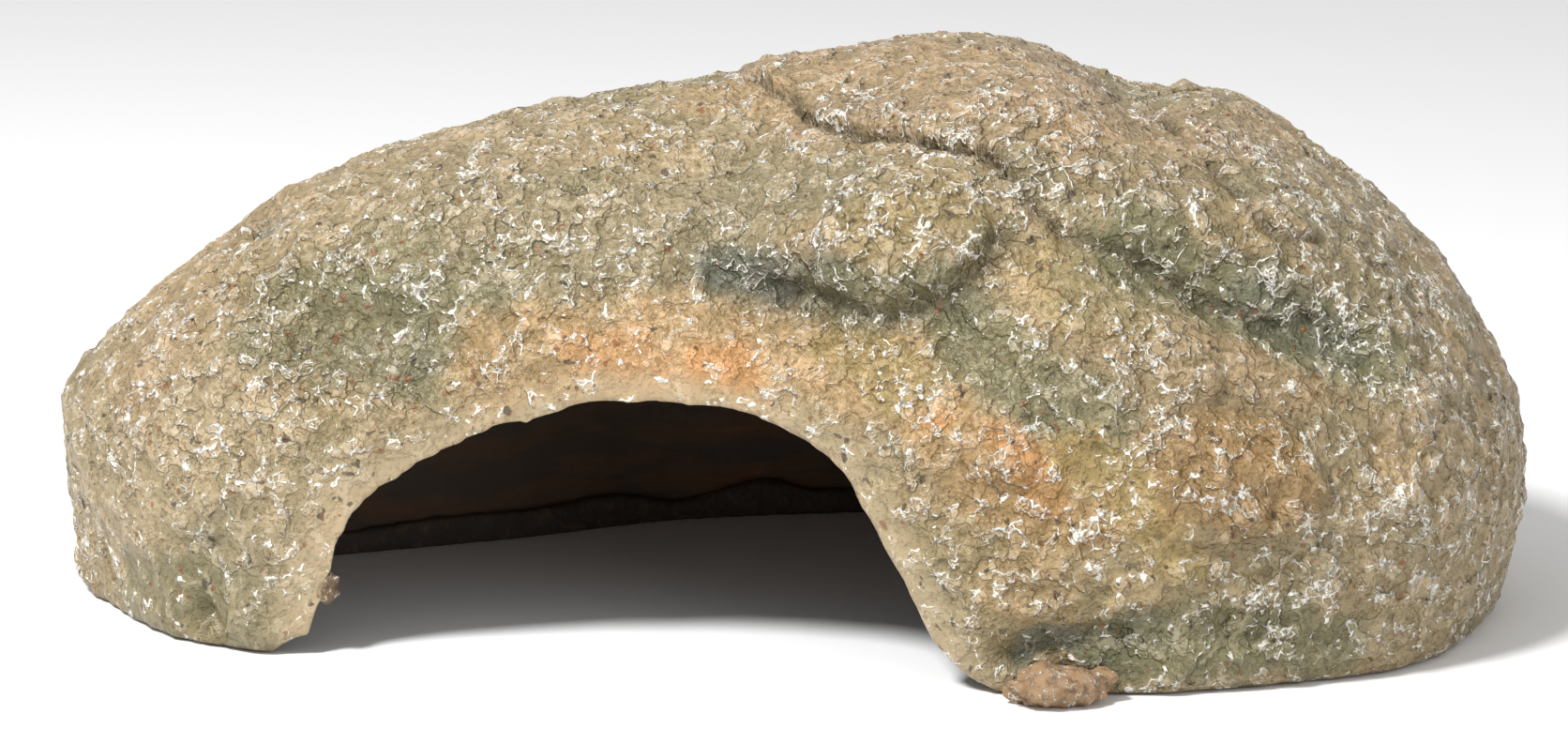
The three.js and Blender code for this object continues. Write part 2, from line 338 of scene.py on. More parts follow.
def stucco_heights(piece):
    """The crust's height in mm at each point of a piece."""
    tree = bpy.data.node_groups.new("stucco", "GeometryNodeTree")
    tree.interface.new_socket("Geometry", in_out="INPUT", socket_type="NodeSocketGeometry")
    tree.interface.new_socket("Geometry", in_out="OUTPUT", socket_type="NodeSocketGeometry")
    place = Socket(tree.nodes.new("GeometryNodeInputPosition").outputs[0])
    mesh = Socket(tree.nodes.new("NodeGroupInput").outputs[0])
    stored = place.node(
        "GeometryNodeStoreNamedAttribute",
        {"data_type": "FLOAT", "domain": "POINT"},
        {"Geometry": mesh, "Name": "stucco", "Value": stucco(place)["height"]},
    )
    tree.links.new(stored.output, tree.nodes.new("NodeGroupOutput").inputs[0])
    modifier = piece.modifiers.new("stucco", "NODES")
    modifier.node_group = tree
    evaluated = piece.evaluated_get(bpy.context.evaluated_depsgraph_get()).data
    heights = np.empty(len(evaluated.vertices))
    evaluated.attributes["stucco"].data.foreach_get("value", heights)
    piece.modifiers.clear()
    bpy.data.node_groups.remove(tree)
    return heights


def facing_out(places, normals):
    """1 where the skin faces straight away from the hollow's heart, and -1 where it faces it."""
    outward = places - np.array(CAVE_HEART)
    outward /= np.linalg.norm(outward, axis=1, keepdims=True)
    return (outward * normals).sum(1)


rock = cast("rock_shell", "rock_face", ROCK_GRAIN, ROCK_WEAR)
refine_outside(rock)

# The lip of the mouth is rubbed round and smooth, in a strip some millimetres wide.
LIP_BAND = 8.0  # width of the smooth strip
LIP_ROLL = 2.8  # how far the outside turns in at the edge
LIP_REACH = 5.0  # how far from the edge it is rubbed and drawn
LIP_WEAR = 30  # rounds of rubbing
LIP_DRAW = 2.6  # how far the edge is drawn into the opening, which the rubbing partly takes back
MOUTH_HEART = np.array([-22.0, -40.0, 8.0])  # the middle of the opening
MOUTH_LEFT = -90
MOUTH_RIGHT = 40
MOUTH_BACK = -20  # the mouth's edge lies in front of this
MOUTH_FOOT = 2  # and above this
EDGE_FACING = 0.3  # the edge faces neither out nor in by more than this

rock_places, rock_normals = read_mesh(rock)
mouth_side = (
    (abs(facing_out(rock_places, rock_normals)) < EDGE_FACING)
    & (rock_places[:, 1] < MOUTH_BACK)
    & (rock_places[:, 2] > MOUTH_FOOT)
    & (rock_places[:, 0] > MOUTH_LEFT)
    & (rock_places[:, 0] < MOUTH_RIGHT)
)
lip_tree = KDTree(int(mouth_side.sum()))
for i, place in enumerate(rock_places[mouth_side]):
    lip_tree.insert(place, i)
lip_tree.balance()
lip_distance = np.array([lip_tree.find(place)[2] for place in rock_places])
lip = ease(-lip_distance, -LIP_BAND, -1.0)

roll = LIP_ROLL * np.clip(1 - lip_distance / LIP_BAND, 0, 1) ** 2
roll *= ease(facing_out(rock_places, rock_normals), 0.1, 0.5) * ease(rock_places[:, 2], 1, 8)
to_heart = (MOUTH_HEART - rock_places) * (1, 0, 1)
to_heart /= np.linalg.norm(to_heart, axis=1, keepdims=True)
drawn = LIP_DRAW * np.exp(-((lip_distance / LIP_REACH) ** 2)) * ease(rock_places[:, 2], 0, 2)
write_mesh(rock, rock_places - roll[:, None] * rock_normals + drawn[:, None] * to_heart)

with reworked(rock) as rubbed:
    rubbed_points = [point for point, gap in zip(rubbed.verts, lip_distance) if gap < LIP_REACH]
    for _ in range(LIP_WEAR):
        smooth(rubbed, rubbed_points)

# The skin is drawn up round the crumb that is pressed into the left leg.
CRUMB_SEAT = 4.0  # how far from the crumb the skin is drawn
CRUMB_DRAW = 0.55  # the share of the way to the crumb that it is drawn
crumb_low, crumb_high = (np.array(corner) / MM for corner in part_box("leg_crumb"))
rock_places, rock_normals = read_mesh(rock)
to_crumb = (crumb_low + crumb_high) / 2 - rock_places
crumb_distance = np.linalg.norm(to_crumb, axis=1, keepdims=True)
drawn_up = CRUMB_DRAW * to_crumb * np.exp(-((crumb_distance / CRUMB_SEAT) ** 2))
write_mesh(rock, rock_places + drawn_up)

# The smooth casting under the crust: all that follows is laid out on it.
rock_places, rock_normals = read_mesh(rock)
rock_skin = BVHTree.FromObject(rock, bpy.context.evaluated_depsgraph_get())
facing = facing_out(rock_places, rock_normals)
painted = ease(facing, -0.5, -0.3)  # 1 on the painted outside and 0 inside the hollow
crusted = ease(facing, 0.05, 0.5) * ease(rock_places[:, 2], 0.1, 3)  # 1 where the crust is at full height


def on_rock(line):
    """The places of the smooth rock that are nearest to those of a line, in mm."""
    return np.array([rock_skin.find_nearest(Vector(place) * MM)[0] for place in line]) / MM


def beside(places, points):
    """Where each place lies from a line through some points: its distance, how far along the line it
    is, the line's whole length, the line's direction there, and the way from the line to the place."""
    along = np.zeros(len(places))
    direction = np.zeros((len(places), 3))
    away = places - points[0]
    run = 0.0
    distance = np.linalg.norm(away, axis=1)
    for start, end in zip(points[:-1], points[1:]):
        length = np.linalg.norm(end - start)
        heading = (end - start) / length
        share = np.clip((places - start) @ heading, 0, length)
        offset = places - start - share[:, None] * heading
        gap = np.linalg.norm(offset, axis=1)
        closer = gap <= distance
        distance = np.where(closer, gap, distance)
        along = np.where(closer, run + share, along)
        direction[closer] = heading
        away[closer] = offset[closer]
        run += length
    return distance, along, run, direction, away


# Edges where one boulder laps over the next. Each runs with the upper boulder on its left-hand side, seen
# from outside: (places, lift of the upper edge, how far back that fades, depth and width of the crack,
# how far the edge leans out over the crack).
LAPS = [
    # the cap boulder over the left slab: behind, over the crown, and down to its front corner
    ([(-16, 50, 62), (-12, 36, 75), (-9, 20, 83), (-7, 6, 88), (-5, -1, 88)], 0.7, 10, 0.35, 1.6, 0.3),
    ([(-8, 4, 88), (-5, -1, 88), (-1, -8, 87), (2, -13, 85), (6, -19, 83), (14, -26, 82),
      (23, -31, 82), (30, -34, 81), (33, -37, 79), (37, -41, 76)], 1.7, 10, 2.0, 1.1, 0.9),
    # and on, down to the right, as a groove
    ([(30, -34, 81), (33, -37, 79), (37, -41, 76), (43, -45, 71), (52, -45, 68), (61, -46, 63),
      (68, -47, 59), (82, -46, 54)], 1.2, 8, 0.6, 1.6, 0.5),
    # the rounded nose of the left slab
    ([(-10, -37, 65), (-2, -40, 62), (7, -45, 60), (17, -49, 60), (25, -50, 63), (29, -48, 68),
      (31, -43, 75)], 3.0, 11, 0.4, 4.0, 1.6),
    # the white ridge over the right hollow
    ([(60, -44, 66), (68, -43, 66), (75, -43, 64), (80, -45, 59),
      (86, -44, 55)], 1.5, 4, 0.3, 2.0, 0.8),
    # the right shoulder beside the saddle
    ([(57, -6, 86), (60, -16, 84), (64, -26, 81)], 1.0, 5, 1.2, 1.6, 0.4),
    ([(64, -26, 81), (68, -33, 76), (73, -37, 71), (78, -38, 68),
      (86, -35, 66)], 1.8, 8, 0.8, 1.6, 0.6),
    ([(80, 8, 77), (90, 20, 66), (98, 32, 46)], 0.9, 7, 0.5, 1.8, 0.3),
    # the ridge under the left hollow
    ([(-76, -37, 44), (-68, -39, 42), (-62, -39, 43), (-59, -38, 46), (-51, -39, 47),
      (-44, -40, 48)], -1.2, 5, 0.0, 2.0, 0.0),
    # behind: laps that carry the boulders' shapes round
    ([(-16, 50, 62), (-10, 58, 48), (-2, 64, 34), (2, 68, 12)], 1.8, 10, 0.25, 3.0, 0.8),
    ([(-96, 20, 46), (-80, 30, 50), (-62, 36, 44), (-50, 46, 28),
      (-44, 54, 8)], 1.8, 9, 0.25, 3.0, 0.8),
    ([(22, 72, 34), (30, 70, 48), (46, 66, 56), (64, 58, 56), (80, 48, 46)], 1.6, 9, 0.25, 3.0, 0.8),
]


LAP_END = 7  # over which a lap dies out at both ends
LAP_REACH = 4  # how many times its fade a lap is felt from its line


def lap(places, normals, line, lift, fade, depth, width, lean):
    """How far one lap lifts the skin and moves it sideways, and the shade in its crack."""
    points = on_rock(line)
    height = np.zeros(len(places))
    shade = np.zeros(len(places))
    sideways = np.zeros((len(places), 3))
    reach = LAP_REACH * fade
    near = (places > points.min(0) - reach).all(1) & (places < points.max(0) + reach).all(1)
    spots = places[near]
    distance, along, run, direction, away = beside(spots, points)
    across = np.cross(normals[near], direction)
    above = np.where((across * away).sum(1) > 0, distance, -distance)
    above += 1.3 * lumps(spots, 8, 71) + 0.5 * lumps(spots, 3, 72)
    taper = ease(along, 0, LAP_END) * ease(run - along, 0, LAP_END)
    past_edge = np.maximum(above, 0)
    upper = lift * ease(above, -0.6 * width, 0.7 * width) * np.exp(-past_edge / fade)
    crack = depth * np.exp(-(((above + 0.6 * width) / width) ** 2))
    height[near] = taper * (upper - crack)
    leaning = lean * ease(above, -0.4 * width, 0.6 * width) * np.exp(-past_edge / (0.5 * fade))
    sideways[near] = -(taper * leaning)[:, None] * across
    shade[near] = taper * np.exp(-(((above + 0.5 * width) / (0.8 * width)) ** 2)) * min(1, depth)
    return height, sideways, shade


# Hollows and swellings along a line or about a place: (places, radius, lift).
SWELLINGS = [
    # under the nose, and the nose itself
    ([(-8, -39, 62), (2, -43, 58), (12, -48, 56), (24, -52, 57)], 7.5, -2.4),
    ([(14, -42, 70), (22, -45, 72)], 9.0, 2.0),
    # the left hollow, the brow over it and the band over the arch
    ([(-76, -34, 53), (-66, -35, 51), (-56, -37, 50)], 9.0, -2.6),
    ([(-86, -28, 52), (-92, -28, 40)], 8.0, 0.9),
    ([(-46, -40, 49), (-24, -43, 51), (-4, -45, 49)], 6.0, 0.7),
    # the right hollow under its white ridge, and the hollow beside the knob
    ([(58, -47, 63), (72, -48, 58), (88, -46, 52)], 5.5, -2.2),
    ([(30, -56, 54), (42, -61, 46)], 6.0, -1.2),
    ([(70, -38, 72), (90, -40, 62)], 7.0, 1.0),
    ([(46, -36, 77), (60, -38, 73)], 6.0, 0.8),
    ([(62, -54, 52), (80, -52, 46)], 7.0, 1.0),
    ([(98, -46, 34), (94, -48, 20)], 10.0, 0.8),
    # the recess over the foot chip, and the notch in the left foot
    ([(34, -66, 6), (42, -66, 8), (50, -66, 9)], 3.4, -2.4),
    ([(56, -65, 11), (72, -62, 10)], 4.0, -1.2),
    ([(-93, -36, 0), (-94, -36, 5)], 2.6, -2.8),
    ([(-88, -39, 5)], 5.0, 0.9),
    # small pits and crumbs
    ([(67, -16, 82)], 2.8, -2.4),
    ([(-77, -24, 61)], 1.8, -2.0),
    ([(-72, -20, 64)], 2.4, -1.2),
    ([(-18, -38, 61)], 1.5, -1.8),
    ([(-69, -23, 64)], 1.8, -1.8),
    ([(-87, -4, 65)], 3.2, -3.0),
    ([(-82, 0, 68)], 2.5, 1.6),
    ([(-116, -10, 23)], 1.6, -1.4),
    ([(-117, -4, 16)], 1.6, -1.4),
    ([(-118, -2, 33)], 2.4, 0.9),
    ([(-119, 2, 27)], 2.0, 0.9),
    ([(35, -64, 40)], 1.1, -1.2),
    ([(26, -64, 25)], 1.3, -1.2),
    ([(55, -14, 87)], 4.0, -1.0),
    ([(58, -4, 85), (66, -6, 83), (76, -6, 80)], 9.0, -1.5),
    ([(52, 20, 84)], 2.5, 1.2),
    # behind and at the ends
    ([(-40, 46, 62), (-24, 54, 60)], 6.0, -1.8),
    ([(56, 62, 34), (74, 54, 24)], 7.0, -1.8),
    ([(110, 14, 30), (108, 28, 20)], 5.0, -1.4),
    ([(12, 70, 56), (30, 68, 60)], 8.0, 1.4),
    ([(-76, 30, 26), (-60, 40, 18)], 6.0, -1.6),
    ([(-28, 60, 30), (-14, 64, 36)], 9.0, 1.4),
]
# Torn flakes of the crust that stand up from the rest: (places, radius, thickness).
FLAKES = [
    ([(62, -62, 35), (72, -61, 34)], 10.0, 1.3),
    ([(29, -61, 40), (33, -63, 38)], 5.0, 1.4),
    ([(46, -60, 44)], 5.0, 0.9),
    ([(62, -57, 48)], 5.0, 0.8),
    ([(-46, -39, 49), (-36, -41, 51)], 4.0, 0.8),
    ([(-54, -36, 56)], 9.0, 0.6),
    ([(22, -45, 78), (28, -42, 79)], 5.0, 0.8),
    ([(-34, -33, 66), (-24, -33, 68)], 9.0, 0.6),
    ([(92, -46, 44)], 9.0, 0.8),
    ([(100, -40, 28)], 7.0, 0.8),
    ([(84, -60, 16)], 7.0, 0.8),
    ([(-108, -16, 30)], 8.0, 0.6),
    ([(-90, -34, 24)], 8.0, 0.6),
    ([(30, 67, 42), (42, 64, 38)], 10.0, 1.0),
    ([(-60, 42, 24)], 9.0, 0.9),
    ([(104, 20, 40)], 9.0, 0.9),
    ([(10, 40, 84)], 12.0, 0.8),
    ([(70, 50, 50)], 10.0, 0.9),
    ([(-90, 20, 36)], 9.0, 0.8),
]


def swelling(places, line, radius, lift):
    """How far one swelling lifts the skin, or a hollow lowers it."""
    distance = beside(places, on_rock(line))[0]
    distance += 0.25 * radius * lumps(places, 1.2 * radius, 81)
    return lift * np.exp(-((distance / radius) ** 2))


def flake(places, line, radius, thickness):
    """How far one torn flake stands up."""
    distance = beside(places, on_rock(line))[0]
    distance += 0.22 * radius * lumps(places, 0.8 * radius, 83) + 1.3 * layers(places, 4, 84, 2)
    return thickness * ease(radius - distance, -0.5, 0.9)


warp = np.column_stack([lumps(rock_places, 9, seed) for seed in (1, 2, 3)])
torn_places = rock_places + 2.6 * warp
broad = layers(rock_places, 30, 11, 2)
knobbly = layers(torn_places, 11, 21, 3)

# Where the crust is heavy or light: (places, radius, change).
CRUST = [
    ([(-78, -33, 54), (-66, -35, 51), (-54, -38, 50)], 11, -0.3),
    ([(-104, -24, 14), (-96, -34, 6), (-84, -40, 8)], 17, -0.6),
    ([(-46, -40, 48), (-14, -43, 50)], 9, -0.35),
    ([(-62, -28, 60), (-40, -32, 62), (-24, -34, 66)], 18, 0.1),
    ([(-96, -20, 48), (-80, -24, 60)], 12, 0.15),
    ([(-8, -39, 64), (4, -42, 65), (12, -44, 64)], 6, 0.7),
    ([(12, -42, 72), (26, -42, 76)], 10, 0.5),
    ([(40, -36, 80), (56, -38, 73)], 10, 0.6),
    ([(32, -40, 77), (32, -44, 70), (30, -48, 64)], 6, 0.4),
    ([(4, -14, 88), (21, -28, 84), (38, -38, 79)], 6, 0.45),
    ([(60, -43, 67), (75, -43, 65), (86, -44, 57)], 5, 0.8),
    ([(72, -24, 78), (84, -28, 70), (98, -24, 58)], 10, 0.6),
    ([(88, -40, 58), (98, -38, 44)], 9, 0.5),
    ([(100, -42, 30), (92, -50, 16)], 11, 0.35),
    ([(-76, -37, 44), (-60, -39, 44), (-48, -40, 48)], 5, 0.5),
    ([(60, -62, 40), (72, -61, 32)], 12, 0.35),
    ([(66, -64, 16), (82, -58, 12)], 9, 0.4),
    ([(38, -66, 16), (46, -66, 24)], 7, 0.25),
    ([(-100, -28, 20), (-90, -37, 10)], 14, -0.35),
    ([(-104, -14, 36), (-98, -22, 36)], 10, -0.3),
    ([(20, -6, 92), (44, -6, 92)], 18, -0.25),
    ([(52, -65, 30), (62, -66, 24)], 5, -0.5),
    ([(46, -65, 38)], 6, -0.5),
    ([(-24, -41, 56), (-16, -41, 58)], 6, -0.5),
    ([(36, -50, 64), (44, -52, 60)], 8, -0.3),
    ([(-30, -43, 48), (0, -46, 47)], 5, -0.3),
]


def spread(places, line, radius):
    """1 about a line or a place, and 0 beyond the radius, with a torn edge."""
    distance = beside(places, on_rock(line))[0] / radius
    return ease(1 - distance + 0.24 * knobbly, 0.1, 0.5)


CRUST_WEIGHT = 0.7  # how heavy the crust is on the whole
CRUST_DRIFT = 0.35  # and how much that drifts from place to place
CRUST_LIMITS = (0.15, 1.5)
LIP_SMOOTHNESS = 0.8  # the share of the crust that is rubbed off the lip

crust = CRUST_WEIGHT + CRUST_DRIFT * layers(rock_places, 20, 31, 2)
for line, radius, change in CRUST:
    crust += change * spread(rock_places, line, radius)
crust = np.clip(crust, *CRUST_LIMITS) * (1 - LIP_SMOOTHNESS * lip)

lift = np.zeros(len(rock_places))
# Where shade is painted into the hollows and the cracks, from 0 to 1.
hollow = np.zeros(len(rock_places))
crack_shade = np.zeros(len(rock_places))
sideways = np.zeros(rock_places.shape)
for line, *sizes in LAPS:
    lap_lift, lap_lean, shade = lap(rock_places, rock_normals, line, *sizes)
    lift += lap_lift
    sideways += lap_lean
    crack_shade = np.maximum(crack_shade, shade)
for line, radius, rise in SWELLINGS:
    swell = swelling(rock_places, line, radius, rise)
    lift += swell
    hollow = np.maximum(hollow, 0.4 * np.clip(-swell / 2, 0, 1))
hollow = np.maximum(hollow, crack_shade)
for line, radius, thickness in FLAKES:
    lift += flake(rock_places, line, radius, thickness)

# The knob on the right leg is a heap of small round lumps.
KNOB = [(62, -62, 35), (72, -61, 34)]
knob_lumps = 1.3 * spread(rock_places, KNOB, 13) * np.maximum(lumps(torn_places, 3.6, 55), -0.3)

BROAD_RELIEF = 0.9
KNOBBLY_RELIEF = 0.6
STUCCO_LEVEL = 0.6  # the height within the stucco that lies level with the smooth casting
stucco_relief = (0.2 + 0.42 * crust) * (stucco_heights(rock) - STUCCO_LEVEL)
rough = BROAD_RELIEF * broad + KNOBBLY_RELIEF * knobbly + knob_lumps + stucco_relief
height = crusted * (lift + (1 - LIP_SMOOTHNESS * lip) * rough)
rock_shaped = rock_places + height[:, None] * rock_normals + crusted[:, None] * sideways
rock_shaped[:, 2] = np.maximum(rock_shaped[:, 2], 0)
write_mesh(rock, rock_shaped)

# The washes of colour under the dry-brushing, as linear red, green and blue.
TAN = (0.37, 0.275, 0.152)
PINK = (0.40, 0.25, 0.145)
PEACH = (0.50, 0.315, 0.15)
ORANGE = (0.58, 0.25, 0.07)
OCHRE = (0.37, 0.265, 0.10)
BEIGE = (0.47, 0.365, 0.225)
ASH = (0.29, 0.24, 0.14)
MOSS = (0.20, 0.185, 0.095)
# Dark green-grey, partly wash and partly painted shade in pits, hollows and recesses.
SLATE_AND_SHADE = (0.12, 0.14, 0.115)
EARTH = (0.20, 0.10, 0.045)
# SHADE is painted shade, for the cracks under the laps.
SHADE = (0.075, 0.058, 0.036)
BRONZE = (0.36, 0.205, 0.07)

# Brush strokes and dabs: (places, radius, colour, strength). The dark green-grey dabs are partly painted
# shade, in the pits, the hollows, under the nose and over the foot chip.
STROKES = [
    # the cap and the crown
    ([(14, -8, 92), (46, -12, 92)], 36, PINK, 0.6),
    ([(48, -32, 79), (60, -36, 74)], 14, PINK, 0.5),
    ([(-14, -4, 86), (-4, -10, 86)], 9, PEACH, 0.6),
    ([(8, -6, 90), (24, -8, 92), (44, -14, 91)], 9, PEACH, 0.5),
    ([(46, -30, 83), (54, -32, 79)], 8, PEACH, 0.45),
    ([(30, 6, 93)], 12, MOSS, 0.25),
    ([(-10, -30, 76), (8, -34, 78)], 12, ASH, 0.8),
    ([(56, -8, 87), (70, -20, 82)], 12, PINK, 0.6),
    # the left slab and the left end
    ([(-60, -28, 62), (-34, -30, 66), (-14, -34, 68)], 20, ASH, 0.6),
    ([(-50, -20, 68), (-30, -22, 72)], 5, MOSS, 0.35),
    ([(-110, -12, 24), (-92, -28, 34), (-82, -36, 24)], 22, BEIGE, 0.5),
    ([(-100, -18, 40)], 14, PINK, 0.4),
    ([(-104, -22, 5), (-88, -36, 6)], 12, MOSS, 0.55),
    ([(-92, -36, 20), (-84, -40, 10)], 8, ASH, 0.5),
    ([(-87, -4, 65), (-84, -8, 64)], 5, SLATE_AND_SHADE, 0.8),
    # the left hollow
    ([(-80, -32, 55), (-66, -35, 52), (-52, -38, 51)], 14, MOSS, 0.7),
    ([(-70, -35, 49), (-60, -37, 48)], 5, SLATE_AND_SHADE, 0.15),
    ([(-74, -28, 60), (-60, -28, 62)], 9, MOSS, 0.35),
    # the band over the arch
    ([(-46, -40, 48), (-30, -42, 50), (-14, -43, 50), (4, -46, 50), (14, -50, 48)], 12, PEACH, 0.75),
    ([(-12, -44, 49), (0, -45, 47)], 6, ORANGE, 0.7),
    ([(-34, -41, 50), (-26, -42, 51)], 4.5, ORANGE, 0.4),
    ([(8, -47, 46), (14, -51, 43)], 4, ORANGE, 0.5),
    ([(-20, -43, 48)], 3, ORANGE, 0.4),
    ([(8, -47, 54), (16, -51, 49), (24, -57, 44)], 8, OCHRE, 0.75),
    # under the nose, with painted shade in its dark green-grey
    ([(-10, -38, 65), (0, -41, 62), (8, -44, 61)], 7.5, SLATE_AND_SHADE, 0.75),
    ([(4, -43, 60), (14, -48, 59), (25, -50, 61)], 8, MOSS, 0.8),
    ([(30, -48, 64), (32, -44, 70)], 5, MOSS, 0.5),
    ([(16, -43, 72), (26, -44, 74)], 9, OCHRE, 0.5),
    # beside the nose, down to the right leg
    ([(26, -54, 56), (36, -59, 50), (46, -60, 42)], 10, MOSS, 0.75),
    ([(40, -50, 64), (52, -52, 58)], 9, OCHRE, 0.5),
    ([(36, -38, 79), (46, -44, 70), (56, -45, 66)], 5, MOSS, 0.6),
    ([(24, -60, 43), (32, -63, 38), (42, -65, 33), (48, -65, 28)], 9, PEACH, 0.8),
    ([(32, -63, 40), (36, -64, 37), (38, -65, 33)], 5, ORANGE, 0.5),
    ([(23, -59, 43)], 3, ORANGE, 0.6),
    ([(44, -64, 38)], 4, ORANGE, 0.35),
    ([(46, -64, 39), (52, -65, 31), (60, -66, 24)], 7, OCHRE, 0.8),
    ([(62, -62, 36), (72, -60, 34)], 12, BRONZE, 0.6),
    ([(92, -50, 32), (98, -44, 30)], 7, PEACH, 0.5),
    ([(34, -65, 20), (40, -66, 14)], 7, PEACH, 0.35),
    ([(28, -62, 34), (38, -65, 29)], 8, BRONZE, 0.55),
    # the right hollow
    ([(52, -44, 67), (62, -46, 62), (76, -47, 57), (92, -45, 50)], 10, MOSS, 0.9),
    ([(70, -46, 60), (86, -46, 53)], 6, SLATE_AND_SHADE, 0.4),
    ([(54, -36, 79), (66, -37, 74)], 11, MOSS, 0.45),
    ([(78, -34, 72), (92, -34, 60)], 14, ASH, 0.7),
    ([(44, -48, 64), (54, -50, 58)], 8, MOSS, 0.35),
    ([(70, -38, 71), (80, -38, 67)], 4, PEACH, 0.4),
    # the foot, with painted shade in the recess over the chip
    ([(38, -66, 7), (46, -66, 9), (56, -65, 11)], 6, SLATE_AND_SHADE, 0.85),
    ([(50, -66, 8), (66, -64, 9), (84, -58, 7)], 9, MOSS, 0.8),
    ([(67, -16, 82)], 3.5, EARTH, 0.9),
    ([(96, -46, 20), (100, -40, 40)], 16, BEIGE, 0.3),
]
# How each wash comes and goes all over the rock: (colour, size, seed, strength).
DRIFTS = [
    (PINK, 38, 41, 0.6),
    (OCHRE, 24, 43, 0.5),
    (PEACH, 22, 45, 0.45),
    (ASH, 26, 47, 0.7),
    (MOSS, 34, 49, 0.65),
]

paint = np.tile(TAN, (len(rock_places), 1))


def wash(paint, colour, strength):
    """The paint with a thin coat of another colour over it."""
    share = np.clip(strength, 0, 1)[:, None]
    return paint * (1 - share) + np.array(colour) * share


behind = ease(rock_places[:, 1], -15, 20)  # the strokes leave the back to the drifts
for colour, size, seed, strength in DRIFTS:
    drift = ease(layers(torn_places, size, seed, 4), 0.15, 0.5)
    paint = wash(paint, colour, strength * drift * (0.4 + 0.6 * behind))
for line, radius, colour, strength in STROKES:
    paint = wash(paint, colour, strength * spread(torn_places, line, radius))
low_places = ease(-(0.9 * broad + 0.5 * knobbly), 0.25, 1.3)
paint = wash(paint, MOSS, 0.3 * low_places * (1 - lip))
# Painted shade in the cracks where one boulder laps over the next.
paint = wash(paint, SHADE, 0.9 * crack_shade)
# Painted light: the faces that look up are made paler.
paint = wash(paint, BEIGE, 0.35 * ease(rock_normals[:, 2], 0.45, 0.95))
paint = wash(paint, BEIGE, 0.55 * lip)

write_colour(rock, "washes", paint)
write_value(rock, "crust", crust)
# Painted shade in the hollows, the cracks and the low places.
write_value(rock, "hollow", np.clip(hollow + 0.5 * low_places, 0, 1))
write_value(rock, "painted", painted)
write_value(rock, "lip", lip)
write_place(rock, "cast_place", rock_places)

WHITE_CRUST = (0.80, 0.77, 0.68, 1)
PALE_TAN = (0.62, 0.54, 0.41, 1)
PORE_SHADE = (0.07, 0.05, 0.03, 1)
RUST_SPECK = (0.20, 0.07, 0.02, 1)
BARE_BROWN_AND_SHADE = (0.035, 0.024, 0.017, 1)
LOW_WASH_AND_SHADE = (0.52, 0.54, 0.46, 1)
HOLLOW_SHADE = (0.5, 0.5, 0.46, 1)
COOL_MOTTLE = (0.78, 0.80, 0.78, 1)
GRIT_STAIN = (0.5, 0.45, 0.38, 1)
WARM_BROWN = (0.07, 0.04, 0.022, 1)


